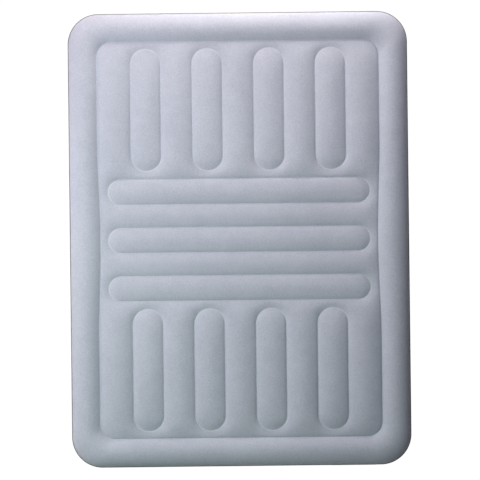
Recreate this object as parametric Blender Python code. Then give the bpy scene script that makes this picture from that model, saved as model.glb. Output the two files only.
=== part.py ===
"""Inflatable air mattress with a raised perimeter chamber, air beams and a recessed two-stage valve.

Metres, +Z up, +Y towards the head end, origin on the floor under the middle of the bed.
"""
import math

import bmesh
import bpy
from mathutils import Vector
from mathutils.geometry import delaunay_2d_cdt

# Driving dimensions, in metres.
LENGTH = 2.03
WIDTH = 1.52
HEIGHT = 0.22
CORNER_R = 0.138
CHAMBER_W = 0.131
SEAM_CORNER_R = 0.07
SEAM_ANGLE = math.radians(52)
WAIST = 0.011
WAIST_HALF_L = 0.45

BEAM_COLUMNS = 4
BEAM_W = 0.135
SIDE_STRIP = 0.150
END_GAP = 0.033
ZONE_GAP = 0.036
MID_BEAMS = 3
MID_BEAM_W = 0.112
MID_PITCH = 0.215
MID_END_GAP = 0.035
FIELD_RISE = 0.017
ARCH_HALF_W = 0.0675
PORT_R = 0.012

TOP_T = 0.0010
BOTTOM_T = 0.0008
SIDE_T = 0.0008
BEAM_T = 0.0008
WELD_T = 0.0010
WELD_HALF_H = 0.0040
WELD_ANGLE = math.radians(20)
LAP_GAP = 0.0006
GAP = 0.0003
PANEL_MARGIN = 0.060
PANEL_STEP = 0.0020
PANEL_LAP = 0.012

VALVE_X = 0.50
NOZZLE_R = 0.0105
NOZZLE_WALL = 0.0015
NOZZLE_L = 0.0219
SEAT_W = 0.0025
SEAT_T = 0.0016
FLAP_LAP = 0.0018
FLAP_T = 0.0010
PIN_R = 0.0006
KNUCKLE_R = 0.0017
KNUCKLE_W = 0.0050
KNUCKLE_ROOM = 0.0005
NECK_ROOM = 0.0011
LUG_T = 0.0012
INSERT_FIT = 0.0004
INSERT_WALL = 0.0016
HEAD_OVERHANG = 0.0024
HEAD_T = 0.0026
SKIRT_L = 0.0168
NECK_WALL = 0.0018
NECK_DEPTH = 0.030
SEAL_T = 0.0016
SEAL_W = 0.0017
FINGER_GAP = 0.0128
CUP_WALL = 0.0014
CUP_DEPTH = 0.013
FLANGE_W = 0.0046
FLANGE_T = 0.0016
FLANGE_MARGIN = 0.002
PLUG_SINK = 0.0004
PLUG_LAP = 0.0025
PLUG_HEAD_T = 0.0014
PLUG_TAPER = 0.0008
PLUG_SKIRT_L = 0.0050
PLUG_WALL = 0.0015
STRAP_W = 0.0080
RING_W = 0.0035
RING_MARGIN = 0.0004

CORNER_STEPS = 6
SIDE_STEPS = 8
END_STEPS = 6
BEND_STEPS = 5
CAP_STEPS = 6
RUN_STEPS = 3
ROUND_STEPS = 28
PORT_STEPS = 10

# Radii of the valve's pieces, from the nozzle port outwards.
SEAT_R = NOZZLE_R - SEAT_W
FLAP_R = SEAT_R + FLAP_LAP
PLUG_HEAD_R = NOZZLE_R + PLUG_LAP
PIN_Y = NOZZLE_R + NOZZLE_WALL + KNUCKLE_ROOM + KNUCKLE_R
NECK_R = PIN_Y + KNUCKLE_R + NECK_ROOM
SKIRT_R = NECK_R - INSERT_FIT
HEAD_R = NECK_R + NECK_WALL + HEAD_OVERHANG
RING_R = HEAD_R - RING_MARGIN - RING_W
CUP_R = HEAD_R + FINGER_GAP
FLANGE_R = CUP_R + CUP_WALL + FLANGE_W
PANEL_HALF_W = FLANGE_R + PANEL_MARGIN

# Sizes of the bed that follow from them.
CHAMBER_RX = CHAMBER_W / (1 + math.sin(SEAM_ANGLE))
SIDE_FLAT_H = 2 * (FLANGE_R + FLANGE_MARGIN)
CHAMBER_RZ = (HEIGHT - SIDE_FLAT_H) / 2
SEAM_Z = HEIGHT - CHAMBER_RZ * (1 - math.cos(SEAM_ANGLE))
SEAM_HALF_W = WIDTH / 2 - CHAMBER_W
SEAM_HALF_L = LENGTH / 2 - CHAMBER_W
BEAM_TOP = SEAM_Z - 1.25 * TOP_T - GAP
BEAM_BOTTOM = BOTTOM_T + GAP
LAP_ANGLE = LAP_GAP / (2 * CHAMBER_RZ)
MID_HALF_L = (MID_BEAMS - 1) / 2 * MID_PITCH + MID_BEAM_W / 2
COLUMN_L = SEAM_HALF_L - END_GAP - MID_HALF_L - ZONE_GAP
COLUMN_Y = MID_HALF_L + ZONE_GAP + COLUMN_L / 2
COLUMN_PITCH = 2 * (SEAM_HALF_W - SIDE_STRIP - BEAM_W / 2) / (BEAM_COLUMNS - 1)
MID_BEAM_L = 2 * (SEAM_HALF_W - WAIST - MID_END_GAP)

FLOCK = ("flock", (0.47, 0.50, 0.58), 0.95)
VINYL = ("vinyl", (0.20, 0.22, 0.26), 0.60)
WELD = ("weld", (0.30, 0.32, 0.37), 0.50)
BEAM = ("beam_vinyl", (0.55, 0.57, 0.62), 0.55)
VALVE = ("valve_plastic", (0.32, 0.34, 0.38), 0.40)
PLUG = ("plug_plastic", (0.60, 0.62, 0.66), 0.40)
SEAL = ("seal_rubber", (0.05, 0.05, 0.06), 0.70)
FLAP = ("silicone", (0.70, 0.70, 0.68), 0.35)
PIN = ("pin_plastic", (0.80, 0.80, 0.80), 0.35)


def clear_scene():
    for obj in list(bpy.data.objects):
        bpy.data.objects.remove(obj, do_unlink=True)


def material(kind):
    name, colour, roughness = kind
    made = bpy.data.materials.get(name)
    if made is None:
        made = bpy.data.materials.new(name)
        made.use_nodes = True
        shader = made.node_tree.nodes["Principled BSDF"]
        shader.inputs["Base Color"].default_value = (*colour, 1)
        shader.inputs["Roughness"].default_value = roughness
        shader.inputs["Metallic"].default_value = 0
    return made


def finish(name, bm, kind, parent=None, location=(0, 0, 0), closed=True):
    """Turns the bmesh into a named object; a closed one gets its faces turned outwards."""
    if closed:
        bmesh.ops.recalc_face_normals(bm, faces=bm.faces)
    mesh = bpy.data.meshes.new(name)
    bm.to_mesh(mesh)
    bm.free()
    mesh.shade_smooth()
    mesh.set_sharp_from_angle(angle=math.radians(35))
    obj = bpy.data.objects.new(name, mesh)
    obj.location = location
    obj.parent = parent
    bpy.context.scene.collection.objects.link(obj)
    if kind:
        mesh.materials.append(material(kind))
    return obj


def helper(obj):
    obj.hide_render = True
    obj.display_type = "WIRE"
    return obj


def boolean(obj, operation, other):
    modifier = obj.modifiers.new(other.name, "BOOLEAN")
    modifier.operation = operation
    modifier.solver = "EXACT"
    modifier.object = other


def solidify(obj, thickness, offset):
    modifier = obj.modifiers.new("wall", "SOLIDIFY")
    modifier.thickness = thickness
    modifier.offset = offset
    modifier.use_even_offset = True
    return obj


# Plan outlines, as lists of (x, y) that run counter-clockwise.
def waist_pull(y):
    """How far the long seams are drawn in at y: full in the middle, none past the middle beams."""
    if abs(y) >= WAIST_HALF_L:
        return 0.0
    return WAIST * (1 + math.cos(math.pi * y / WAIST_HALF_L)) / 2


def rounded_outline(inset):
    """The bed's outline moved in by inset; its corners and waist blend towards the inner seam's."""
    share = inset / CHAMBER_W
    half_x = WIDTH / 2 - inset
    half_y = LENGTH / 2 - inset
    radius = CORNER_R + (SEAM_CORNER_R - CORNER_R) * share
    arcs = []
    for start, sx, sy in ((-90, 1, -1), (0, 1, 1), (90, -1, 1), (180, -1, -1)):
        centre = Vector((sx * (half_x - radius), sy * (half_y - radius)))
        arc = []
        for step in range(CORNER_STEPS + 1):
            angle = math.radians(start + 90 * step / CORNER_STEPS)
            arc.append(centre + radius * Vector((math.cos(angle), math.sin(angle))))
        arcs.append(arc)
    outline = []
    for arc, after, run in zip(arcs, arcs[1:] + arcs[:1], (SIDE_STEPS, END_STEPS) * 2):
        outline += arc
        outline += [arc[-1].lerp(after[0], step / run) for step in range(1, run)]
    return [(p.x - math.copysign(share * waist_pull(p.y), p.x), p.y) for p in outline]


def stadium_outline(beam, outset=0.0):
    """A beam's outline: two straight runs closed by half circles, grown by outset."""
    (cx, cy), (half_l, half_w), upright = beam
    radius = half_w + outset
    run = half_l - half_w
    points = []
    for end in (1, -1):
        for step in range(CAP_STEPS + 1):
            angle = math.pi * (step / CAP_STEPS - 0.5)
            points.append((end * (run + radius * math.cos(angle)), end * radius * math.sin(angle)))
        for step in range(1, RUN_STEPS):
            points.append((end * run * (1 - 2 * step / RUN_STEPS), end * radius))
    if upright:
        points = [(-y, x) for x, y in points]
    return [(cx + x, cy + y) for x, y in points]


def beam_table():
    """Name, centre, half length, half width and direction of each inner beam."""
    beams = {}
    for zone, side in (("head", 1), ("foot", -1)):
        for column in range(BEAM_COLUMNS):
            x = (column - (BEAM_COLUMNS - 1) / 2) * COLUMN_PITCH
            beams[f"{zone}_beam_{column + 1}"] = ((x, side * COLUMN_Y), (COLUMN_L / 2, BEAM_W / 2), True)
    for row in range(MID_BEAMS):
        y = ((MID_BEAMS - 1) / 2 - row) * MID_PITCH
        beams[f"middle_beam_{row + 1}"] = ((0.0, y), (MID_BEAM_L / 2, MID_BEAM_W / 2), False)
    return beams


BEAMS = beam_table()


def beam_distance(beam, x, y):
    """Distance from a beam's outline, negative inside it."""
    (cx, cy), (half_l, half_w), upright = beam
    along, across = (y - cy, x - cx) if upright else (x - cx, y - cy)
    past = max(abs(along) - (half_l - half_w), 0)
    return math.hypot(past, across) - half_w


def edge_distance(x, y):
    """Distance inwards from the perimeter seam."""
    half_x = SEAM_HALF_W - waist_pull(y)
    qx = abs(x) - (half_x - SEAM_CORNER_R)
    qy = abs(y) - (SEAM_HALF_L - SEAM_CORNER_R)
    return SEAM_CORNER_R - math.hypot(max(qx, 0), max(qy, 0)) - min(max(qx, qy), 0)


def seam_distance(x, y):
    return min(edge_distance(x, y), *(abs(beam_distance(beam, x, y)) for beam in BEAMS.values()))


def field_height(x, y):
    """Top of the field: parabolic arches that spring from every seam."""
    short = 1 - min(seam_distance(x, y) / ARCH_HALF_W, 1)
    return SEAM_Z + FIELD_RISE * (1 - short * short)


def rim_profile(angle, out=0.0):
    """Inset and height on the chamber's elliptical section, 0 at the side, 90 degrees at the crest."""
    normal = Vector((-CHAMBER_RZ * math.cos(angle), CHAMBER_RX * math.sin(angle))).normalized() * out
    inset = CHAMBER_RX * (1 - math.cos(angle)) + normal.x
    return inset, HEIGHT - CHAMBER_RZ + CHAMBER_RZ * math.sin(angle) + normal.y


def turned_over(section):
    inset, z = section
    return inset, HEIGHT - z


# Surface builders.
def add_ring(bm, section):
    inset, z = section
    return [bm.verts.new((x, y, z)) for x, y in rounded_outline(inset)]


def bridge(bm, lower, upper):
    count = len(lower)
    for i in range(count):
        j = (i + 1) % count
        bm.faces.new((lower[i], lower[j], upper[j], upper[i]))


def loft(bm, sections, closed=False):
    rings = [add_ring(bm, section) for section in sections]
    for lower, upper in zip(rings, rings[1:]):
        bridge(bm, lower, upper)
    if closed:
        bridge(bm, rings[-1], rings[0])
    return rings


def arc_angles(first, last, steps):
    return [first + (last - first) * step / steps for step in range(steps + 1)]


def box_body(bm, low, high):
    xs, ys, zs = zip(low, high)
    corners = [bm.verts.new((x, y, z)) for z in zs for y in ys for x in xs]
    for face in ((0, 2, 3, 1), (4, 5, 7, 6), (0, 1, 5, 4), (2, 6, 7, 3), (0, 4, 6, 2), (1, 3, 7, 5)):
        bm.faces.new([corners[i] for i in face])


def rod_body(bm, centre, radius, half_l, axis, steps):
    """A closed cylinder along X or Y."""
    ends = []
    for side in (-1, 1):
        loop = []
        for step in range(steps):
            angle = 2 * math.pi * step / steps
            across, up = radius * math.cos(angle), radius * math.sin(angle)
            offset = (side * half_l, across, up) if axis == "X" else (across, side * half_l, up)
            loop.append(bm.verts.new(Vector(centre) + Vector(offset)))
        ends.append(loop)
        bm.faces.new(loop)
    bridge(bm, ends[0], ends[1])


def turned_body(bm, profile):
    """Turns a closed (radius, height) profile about the local Z axis; points on the axis become poles."""
    rings = []
    for radius, z in profile:
        if radius == 0:
            rings.append([bm.verts.new((0, 0, z))])
            continue
        angles = [2 * math.pi * step / ROUND_STEPS for step in range(ROUND_STEPS)]
        rings.append([bm.verts.new((radius * math.cos(a), radius * math.sin(a), z)) for a in angles])
    for here, there in zip(rings, rings[1:] + rings[:1]):
        if len(here) == 1 and len(there) == 1:
            continue
        for i in range(ROUND_STEPS):
            j = (i + 1) % ROUND_STEPS
            ring = [here[i % len(here)], here[j % len(here)], there[j % len(there)], there[i % len(there)]]
            bm.faces.new(list(dict.fromkeys(ring)))


# The envelope: flocked top sheet, vinyl side wall and bottom sheet, and the welds that join them.
def field_points():
    """Free points for the field: rows beside each seam and along the crowns."""
    beside = 0.33 * ARCH_HALF_W
    clear = 0.8 * beside
    shrink_x, shrink_y = 1 - beside / SEAM_HALF_W, 1 - beside / SEAM_HALF_L
    spots = [(x * shrink_x, y * shrink_y) for x, y in rounded_outline(CHAMBER_W)]
    for beam in BEAMS.values():
        spots += stadium_outline(beam, beside)
        spots += stadium_outline(beam, -beside)
        (cx, cy), (half_l, half_w), upright = beam
        run = half_l - half_w
        for step in range(RUN_STEPS + 1):
            along = run * (2 * step / RUN_STEPS - 1)
            spots.append((cx, cy + along) if upright else (cx + along, cy))
    for zone in (-1, 1):
        for column in range(BEAM_COLUMNS + 1):
            x = (column - BEAM_COLUMNS / 2) * COLUMN_PITCH
            for step in range(RUN_STEPS + 1):
                along = (COLUMN_L - BEAM_W) * (step / RUN_STEPS - 0.5)
                spots.append((x, zone * COLUMN_Y + along))
    return [spot for spot in spots if seam_distance(*spot) > clear]


def top_sheet():
    bm = bmesh.new()
    outer = arc_angles(WELD_ANGLE, math.pi / 2, BEND_STEPS)
    inner = arc_angles(math.pi / 2, math.pi / 2 + SEAM_ANGLE, BEND_STEPS - 1)
    outer[0] += LAP_ANGLE
    loft(bm, [rim_profile(angle) for angle in outer + inner[1:]])
    outline = rounded_outline(CHAMBER_W)
    flat = list(outline)
    edges = []
    for beam in BEAMS.values():
        start = len(flat)
        loop = stadium_outline(beam)
        flat += loop
        edges += [(start + i, start + (i + 1) % len(loop)) for i in range(len(loop))]
    flat += field_points()
    boundary = [list(range(len(outline)))]
    spots, _, faces, _, _, _ = delaunay_2d_cdt([Vector(p) for p in flat], edges, boundary, 1, 1e-6)
    verts = [bm.verts.new((p.x, p.y, field_height(p.x, p.y))) for p in spots]
    for face in faces:
        bm.faces.new([verts[i] for i in face])
    bmesh.ops.remove_doubles(bm, verts=bm.verts, dist=2e-5)
    return solidify(finish("top_sheet", bm, FLOCK, closed=False), TOP_T, -1)


def bottom_sheet():
    bm = bmesh.new()
    angles = arc_angles(math.pi / 2, WELD_ANGLE + LAP_ANGLE, BEND_STEPS)
    rings = loft(bm, [turned_over(rim_profile(angle)) for angle in angles])
    bm.faces.new(rings[0][::-1])
    return solidify(finish("bottom_sheet", bm, VINYL, closed=False), BOTTOM_T, -1)


def side_section(out=0.0):
    """The side's section from the lower weld to the upper one, as (inset, height), moved outwards by out."""
    upper = [rim_profile(angle, out) for angle in arc_angles(0, WELD_ANGLE - LAP_ANGLE, 2)]
    return [turned_over(section) for section in reversed(upper)] + upper


def side_wall():
    """One strip all the way round, whose two ends stop at the valve panel."""
    bm = bmesh.new()
    loft(bm, side_section())
    wall = solidify(finish("side_wall", bm, VINYL, closed=False), SIDE_T, -1)
    bm = bmesh.new()
    foot = -LENGTH / 2
    low = (VALVE_X - PANEL_HALF_W, foot - CUP_DEPTH, 0)
    high = (VALVE_X + PANEL_HALF_W, foot + CHAMBER_RX / 2, HEIGHT)
    box_body(bm, low, high)
    boolean(wall, "DIFFERENCE", helper(finish("panel_cutter", bm, None)))
    return wall


def valve_panel():
    """Carries the valve; its two ends step inwards and lap behind the ends of the side wall."""
    bm = bmesh.new()
    lap = SIDE_T + GAP
    stations = [(PANEL_HALF_W - PANEL_STEP, 0), (PANEL_HALF_W - 2 * GAP, lap), (PANEL_HALF_W + PANEL_LAP, lap)]
    stations = [(-x, sink) for x, sink in reversed(stations)] + stations
    columns = []
    for x, sink in stations:
        section = side_section(-sink)
        columns.append([bm.verts.new((VALVE_X + x, inset - LENGTH / 2, z)) for inset, z in section])
    for left, right in zip(columns, columns[1:]):
        for i in range(len(left) - 1):
            bm.faces.new((left[i], right[i], right[i + 1], left[i + 1]))
    panel = solidify(finish("valve_panel", bm, VINYL, closed=False), SIDE_T, -1)
    hole_r = CUP_R + CUP_WALL + GAP
    bm = bmesh.new()
    turned_body(bm, [(0, -CUP_DEPTH), (hole_r, -CUP_DEPTH), (hole_r, CUP_DEPTH), (0, CUP_DEPTH)])
    boolean(panel, "DIFFERENCE", helper(finish("valve_hole_cutter", bm, None, VALVE_AXIS)))
    return panel


def edge_weld(name, turn):
    """A flat welded band that laps the joint between a sheet and the side wall."""
    bm = bmesh.new()
    half = WELD_HALF_H / CHAMBER_RZ
    corners = [(WELD_ANGLE - half, GAP), (WELD_ANGLE - half, GAP + WELD_T), (WELD_ANGLE, GAP + WELD_T)]
    corners += [(WELD_ANGLE + half, GAP + WELD_T), (WELD_ANGLE + half, GAP), (WELD_ANGLE, GAP)]
    sections = [rim_profile(angle, out) for angle, out in corners]
    loft(bm, [turned_over(section) for section in sections] if turn else sections, closed=True)
    return finish(name, bm, WELD)


# The air beams: upright closed bands welded to both sheets, with ports that let the air pass.
def band(name, outline, ports):
    """A band that stands on outline; ports lists the centre, half length and axis of each drilled hole."""
    bm = bmesh.new()
    lower = [bm.verts.new((x, y, BEAM_BOTTOM)) for x, y in outline]
    upper = [bm.verts.new((x, y, BEAM_TOP)) for x, y in outline]
    bridge(bm, lower, upper)
    obj = solidify(finish(name, bm, BEAM, closed=False), BEAM_T, 0)
    bm = bmesh.new()
    for (x, y), half_l, axis in ports:
        rod_body(bm, (x, y, (BEAM_BOTTOM + BEAM_TOP) / 2), PORT_R, half_l, axis, PORT_STEPS)
    boolean(obj, "DIFFERENCE", helper(finish(name + "_port_cutter", bm, None)))
    return obj


def inner_beams():
    for name, beam in BEAMS.items():
        (cx, cy), (half_l, half_w), upright = beam
        shift = (half_l - half_w) / 2
        ports = []
        for side in (-1, 1):
            spot = (cx, cy + side * shift) if upright else (cx + side * shift, cy)
            ports.append((spot, half_w + PORT_R, "X" if upright else "Y"))
        band(name, stadium_outline(beam), ports)


def perimeter_beam():
    ports = []
    for sx in (-1, 1):
        for sy in (-1, 1):
            ports.append(((sx * SEAM_HALF_W, sy * COLUMN_Y), PORT_R + WAIST, "X"))
            ports.append(((sx * COLUMN_PITCH, sy * SEAM_HALF_L), PORT_R, "Y"))
    band("perimeter_beam", rounded_outline(CHAMBER_W), ports)


# The valve, in a local frame whose +Z points out of the side wall.
HEAD_TOP = -(PLUG_SINK + PLUG_HEAD_T + GAP)
HEAD_BOTTOM = HEAD_TOP - HEAD_T
NECK_LIP = HEAD_BOTTOM - SEAL_T - 2 * GAP
NOZZLE_END = HEAD_TOP - NOZZLE_L
FLAP_TOP = NOZZLE_END - GAP
PIN_Z = FLAP_TOP - FLAP_T / 2
RING_INNER_FLAT = math.sqrt(RING_R ** 2 - (STRAP_W / 2) ** 2)
STRAP_END = RING_INNER_FLAT - GAP
PLUG_HINGE_Y = STRAP_END + GAP / 2
PLUG_HINGE_Z = -PLUG_SINK + GAP / 2


def valve_axis():
    empty = bpy.data.objects.new("valve_axis", None)
    empty.location = (VALVE_X, -LENGTH / 2, HEIGHT / 2)
    empty.rotation_euler = (math.pi / 2, 0, 0)
    bpy.context.scene.collection.objects.link(empty)
    return empty


def valve_base():
    back = -(SIDE_T + GAP)
    outer = CUP_R + CUP_WALL
    floor = -(CUP_DEPTH + CUP_WALL)
    neck = NECK_R + NECK_WALL
    bm = bmesh.new()
    turned_body(bm, [
        (outer, 0), (outer, back), (FLANGE_R, back), (FLANGE_R, back - FLANGE_T), (outer, back - FLANGE_T),
        (outer, floor), (neck, floor), (neck, -NECK_DEPTH), (NECK_R, -NECK_DEPTH), (NECK_R, NECK_LIP),
        (neck, NECK_LIP), (neck, -CUP_DEPTH), (CUP_R, -CUP_DEPTH), (CUP_R, 0),
    ])
    return finish("valve_base", bm, VALVE, VALVE_AXIS)


def valve_seal():
    low, high = HEAD_BOTTOM - GAP - SEAL_T, HEAD_BOTTOM - GAP
    inner = SKIRT_R + GAP
    middle, outer = inner + SEAL_W / 2, inner + SEAL_W
    waist = (low + high) / 2
    bm = bmesh.new()
    turned_body(bm, [(inner, waist), (middle, low), (outer, waist), (middle, high)])
    return finish("valve_seal", bm, SEAL, VALVE_AXIS)


def inflation_insert():
    nozzle_outer = NOZZLE_R + NOZZLE_WALL
    skirt_end = HEAD_BOTTOM - SKIRT_L
    bm = bmesh.new()
    turned_body(bm, [
        (NOZZLE_R, HEAD_TOP), (HEAD_R, HEAD_TOP), (HEAD_R, HEAD_BOTTOM), (SKIRT_R, HEAD_BOTTOM),
        (SKIRT_R, skirt_end), (SKIRT_R - INSERT_WALL, skirt_end), (SKIRT_R - INSERT_WALL, HEAD_BOTTOM),
        (nozzle_outer, HEAD_BOTTOM), (nozzle_outer, NOZZLE_END), (SEAT_R, NOZZLE_END),
        (SEAT_R, NOZZLE_END + SEAT_T), (NOZZLE_R, NOZZLE_END + SEAT_T),
    ])
    insert = finish("inflation_insert", bm, VALVE, VALVE_AXIS)
    bm = bmesh.new()
    for side in (-1, 1):
        near = side * (KNUCKLE_W / 2 + GAP)
        far = near + side * LUG_T
        low = (min(near, far), nozzle_outer - NOZZLE_WALL / 2, PIN_Z - KNUCKLE_R)
        box_body(bm, low, (max(near, far), PIN_Y + KNUCKLE_R, PIN_Z + 2 * KNUCKLE_R))
    boolean(insert, "UNION", helper(finish("lug_builder", bm, None, VALVE_AXIS)))
    bm = bmesh.new()
    rod_body(bm, (0, PIN_Y, PIN_Z), PIN_R + GAP, KNUCKLE_W, "X", PORT_STEPS)
    boolean(insert, "DIFFERENCE", helper(finish("pin_hole_cutter", bm, None, VALVE_AXIS)))
    return insert


def flap_pin():
    bm = bmesh.new()
    rod_body(bm, (0, PIN_Y, PIN_Z), PIN_R, KNUCKLE_W / 2 + GAP + 1.5 * LUG_T, "X", PORT_STEPS)
    return finish("flap_pin", bm, PIN, VALVE_AXIS)


def check_flap():
    """A disc under the nozzle, with a tab and a knuckle on the pin; its origin is on the pin."""
    bm = bmesh.new()
    turned_body(bm, [(0, FLAP_TOP - FLAP_T), (FLAP_R, FLAP_TOP - FLAP_T), (FLAP_R, FLAP_TOP), (0, FLAP_TOP)])
    bmesh.ops.translate(bm, verts=bm.verts, vec=(0, -PIN_Y, -PIN_Z))
    flap = finish("check_flap", bm, FLAP, VALVE_AXIS, (0, PIN_Y, PIN_Z))
    bm = bmesh.new()
    low = (-KNUCKLE_W / 2, FLAP_R - FLAP_T, FLAP_TOP - FLAP_T)
    box_body(bm, low, (KNUCKLE_W / 2, PIN_Y - PIN_R - GAP, FLAP_TOP))
    boolean(flap, "UNION", helper(finish("flap_tab_builder", bm, None, VALVE_AXIS)))
    bm = bmesh.new()
    rod_body(bm, (0, PIN_Y, PIN_Z), KNUCKLE_R, KNUCKLE_W / 2, "X", PORT_STEPS)
    boolean(flap, "UNION", helper(finish("knuckle_builder", bm, None, VALVE_AXIS)))
    bm = bmesh.new()
    rod_body(bm, (0, PIN_Y, PIN_Z), PIN_R + GAP, KNUCKLE_W, "X", PORT_STEPS)
    boolean(flap, "DIFFERENCE", helper(finish("knuckle_bore_cutter", bm, None, VALVE_AXIS)))
    return flap


def tether_ring():
    low, high = -(PLUG_SINK + PLUG_HEAD_T), -PLUG_SINK
    bm = bmesh.new()
    turned_body(bm, [(RING_R, low), (RING_R + RING_W, low), (RING_R + RING_W, high), (RING_R, high)])
    return finish("tether_ring", bm, PLUG, VALVE_AXIS)


def plug():
    """A stopper with a tapered skirt, a strap to the ring and a pull tab; origin on the strap's fold."""
    low, high = -(PLUG_SINK + PLUG_HEAD_T), -PLUG_SINK
    skirt_r = NOZZLE_R - INSERT_FIT
    tip_r = skirt_r - PLUG_TAPER
    tip = low - PLUG_SKIRT_L
    fold = Vector((0, PLUG_HINGE_Y, PLUG_HINGE_Z))
    bm = bmesh.new()
    turned_body(bm, [
        (0, high), (PLUG_HEAD_R, high), (PLUG_HEAD_R, low), (skirt_r, low),
        (tip_r, tip), (tip_r - PLUG_WALL, tip), (skirt_r - PLUG_WALL, low), (0, low),
    ])
    bmesh.ops.translate(bm, verts=bm.verts, vec=-fold)
    stopper = finish("plug", bm, PLUG, VALVE_AXIS, fold)
    root = PLUG_HEAD_R - PLUG_WALL
    bm = bmesh.new()
    box_body(bm, (-STRAP_W / 2, root, low), (STRAP_W / 2, STRAP_END, high))
    box_body(bm, (-STRAP_W / 2, -STRAP_END, low), (STRAP_W / 2, -root, high))
    boolean(stopper, "UNION", helper(finish("strap_builder", bm, None, VALVE_AXIS)))
    return stopper


clear_scene()
VALVE_AXIS = valve_axis()
top_sheet()
bottom_sheet()
side_wall()
valve_panel()
edge_weld("top_edge_weld", False)
edge_weld("bottom_edge_weld", True)
perimeter_beam()
inner_beams()
valve_base()
valve_seal()
inflation_insert()
tether_ring()
flap_pin()
check_flap()
plug()
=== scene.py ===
"""The look of an inflated air mattress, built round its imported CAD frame. Metres, +Z up, +Y to the head."""
import math

import bmesh
import bpy
import numpy as np
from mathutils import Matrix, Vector
from mathutils.geometry import delaunay_2d_cdt


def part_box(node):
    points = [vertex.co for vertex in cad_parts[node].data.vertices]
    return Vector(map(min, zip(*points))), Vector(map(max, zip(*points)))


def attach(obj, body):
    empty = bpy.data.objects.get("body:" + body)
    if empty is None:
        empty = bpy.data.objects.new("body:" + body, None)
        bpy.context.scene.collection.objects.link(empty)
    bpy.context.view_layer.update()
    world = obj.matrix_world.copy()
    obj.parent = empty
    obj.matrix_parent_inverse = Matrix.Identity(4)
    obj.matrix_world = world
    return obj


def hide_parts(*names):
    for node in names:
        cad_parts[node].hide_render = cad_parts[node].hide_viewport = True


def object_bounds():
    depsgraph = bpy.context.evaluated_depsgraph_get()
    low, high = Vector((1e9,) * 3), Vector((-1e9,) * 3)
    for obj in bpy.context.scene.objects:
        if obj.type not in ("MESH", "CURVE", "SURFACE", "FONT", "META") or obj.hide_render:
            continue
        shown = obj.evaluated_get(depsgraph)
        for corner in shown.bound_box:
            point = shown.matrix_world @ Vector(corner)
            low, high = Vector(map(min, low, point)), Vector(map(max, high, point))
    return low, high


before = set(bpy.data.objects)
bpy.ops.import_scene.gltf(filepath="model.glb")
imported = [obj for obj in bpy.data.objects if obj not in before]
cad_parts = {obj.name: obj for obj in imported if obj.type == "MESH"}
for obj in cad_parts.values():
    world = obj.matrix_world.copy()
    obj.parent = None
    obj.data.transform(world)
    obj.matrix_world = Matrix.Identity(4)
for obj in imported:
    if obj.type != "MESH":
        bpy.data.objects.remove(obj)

CAD_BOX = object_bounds()

# The studio is stage, not object: a camera straight above the bed, broad lamps on the left and the head side,
# two weak fills, and a floor and sky that the camera sees as white but that light the bed only a little.
scene = bpy.context.scene
CAMERA_HEIGHT = 6.2
SILHOUETTE_Z = 0.15
PICTURE_SPAN = 2.152
CAMERA_ROLL = math.radians(-0.66)

camera_data = bpy.data.cameras.new("camera")
camera_data.sensor_width = 36
camera_data.lens = 36 * (CAMERA_HEIGHT - SILHOUETTE_Z) / PICTURE_SPAN
camera = bpy.data.objects.new("camera", camera_data)
camera.location = (0.002, -0.003, CAMERA_HEIGHT)
camera.rotation_euler = (0, 0, CAMERA_ROLL)
scene.collection.objects.link(camera)
scene.camera = camera


def soft_lamp(name, place, target, size, power, colour):
    """A round area lamp at place that faces target."""
    data = bpy.data.lights.new(name, "AREA")
    data.shape = "DISK"
    data.size = size
    data.energy = power
    data.color = colour
    lamp = bpy.data.objects.new(name, data)
    lamp.location = place
    lamp.rotation_euler = (Vector(target) - Vector(place)).to_track_quat("-Z", "Y").to_euler()
    scene.collection.objects.link(lamp)


soft_lamp("key_lamp", (-1.7, 0.0, 2.8), (0.0, 0.0, 0.1), 1.4, 55.9, (0.692, 1.0, 0.816))
soft_lamp("corner_lamp", (-1.3, 1.6, 3.0), (0.0, 0.0, 0.1), 1.4, 38.4, (1.0, 0.655, 0.924))
soft_lamp("side_lamp", (-2.9, 0.0, 1.2), (0.0, 0.0, 0.1), 1.2, 25.9, (1.0, 0.713, 0.790))
soft_lamp("head_lamp", (0.0, 2.3, 0.6), (0.0, 0.0, 0.1), 1.2, 28.2, (1.0, 0.926, 0.798))
soft_lamp("head_corner_lamp", (1.0, 2.2, 0.7), (0.0, 0.0, 0.1), 1.0, 9.4, (0.966, 0.955, 1.0))
soft_lamp("foot_fill", (0.6, -4.0, 0.4), (0.0, 0.0, 0.1), 0.8, 9.0, (1.0, 0.96, 1.0))
soft_lamp("right_fill", (4.0, -0.6, 0.5), (0.0, 0.0, 0.1), 1.6, 5.0, (1.0, 1.0, 1.0))

sky = bpy.data.worlds.new("studio_sky")
sky.use_nodes = True
air = sky.node_tree
seen_directly = air.nodes.new("ShaderNodeLightPath")
sky_strength = air.nodes.new("ShaderNodeMix")
sky_strength.inputs["A"].default_value = 0.05
sky_strength.inputs["B"].default_value = 1.0
air.links.new(seen_directly.outputs["Is Camera Ray"], sky_strength.inputs["Factor"])
air.links.new(sky_strength.outputs["Result"], air.nodes["Background"].inputs["Strength"])
air.nodes["Background"].inputs["Color"].default_value = (0.97, 0.98, 1.0, 1)
scene.world = sky
scene.view_settings.view_transform = "Standard"


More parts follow.
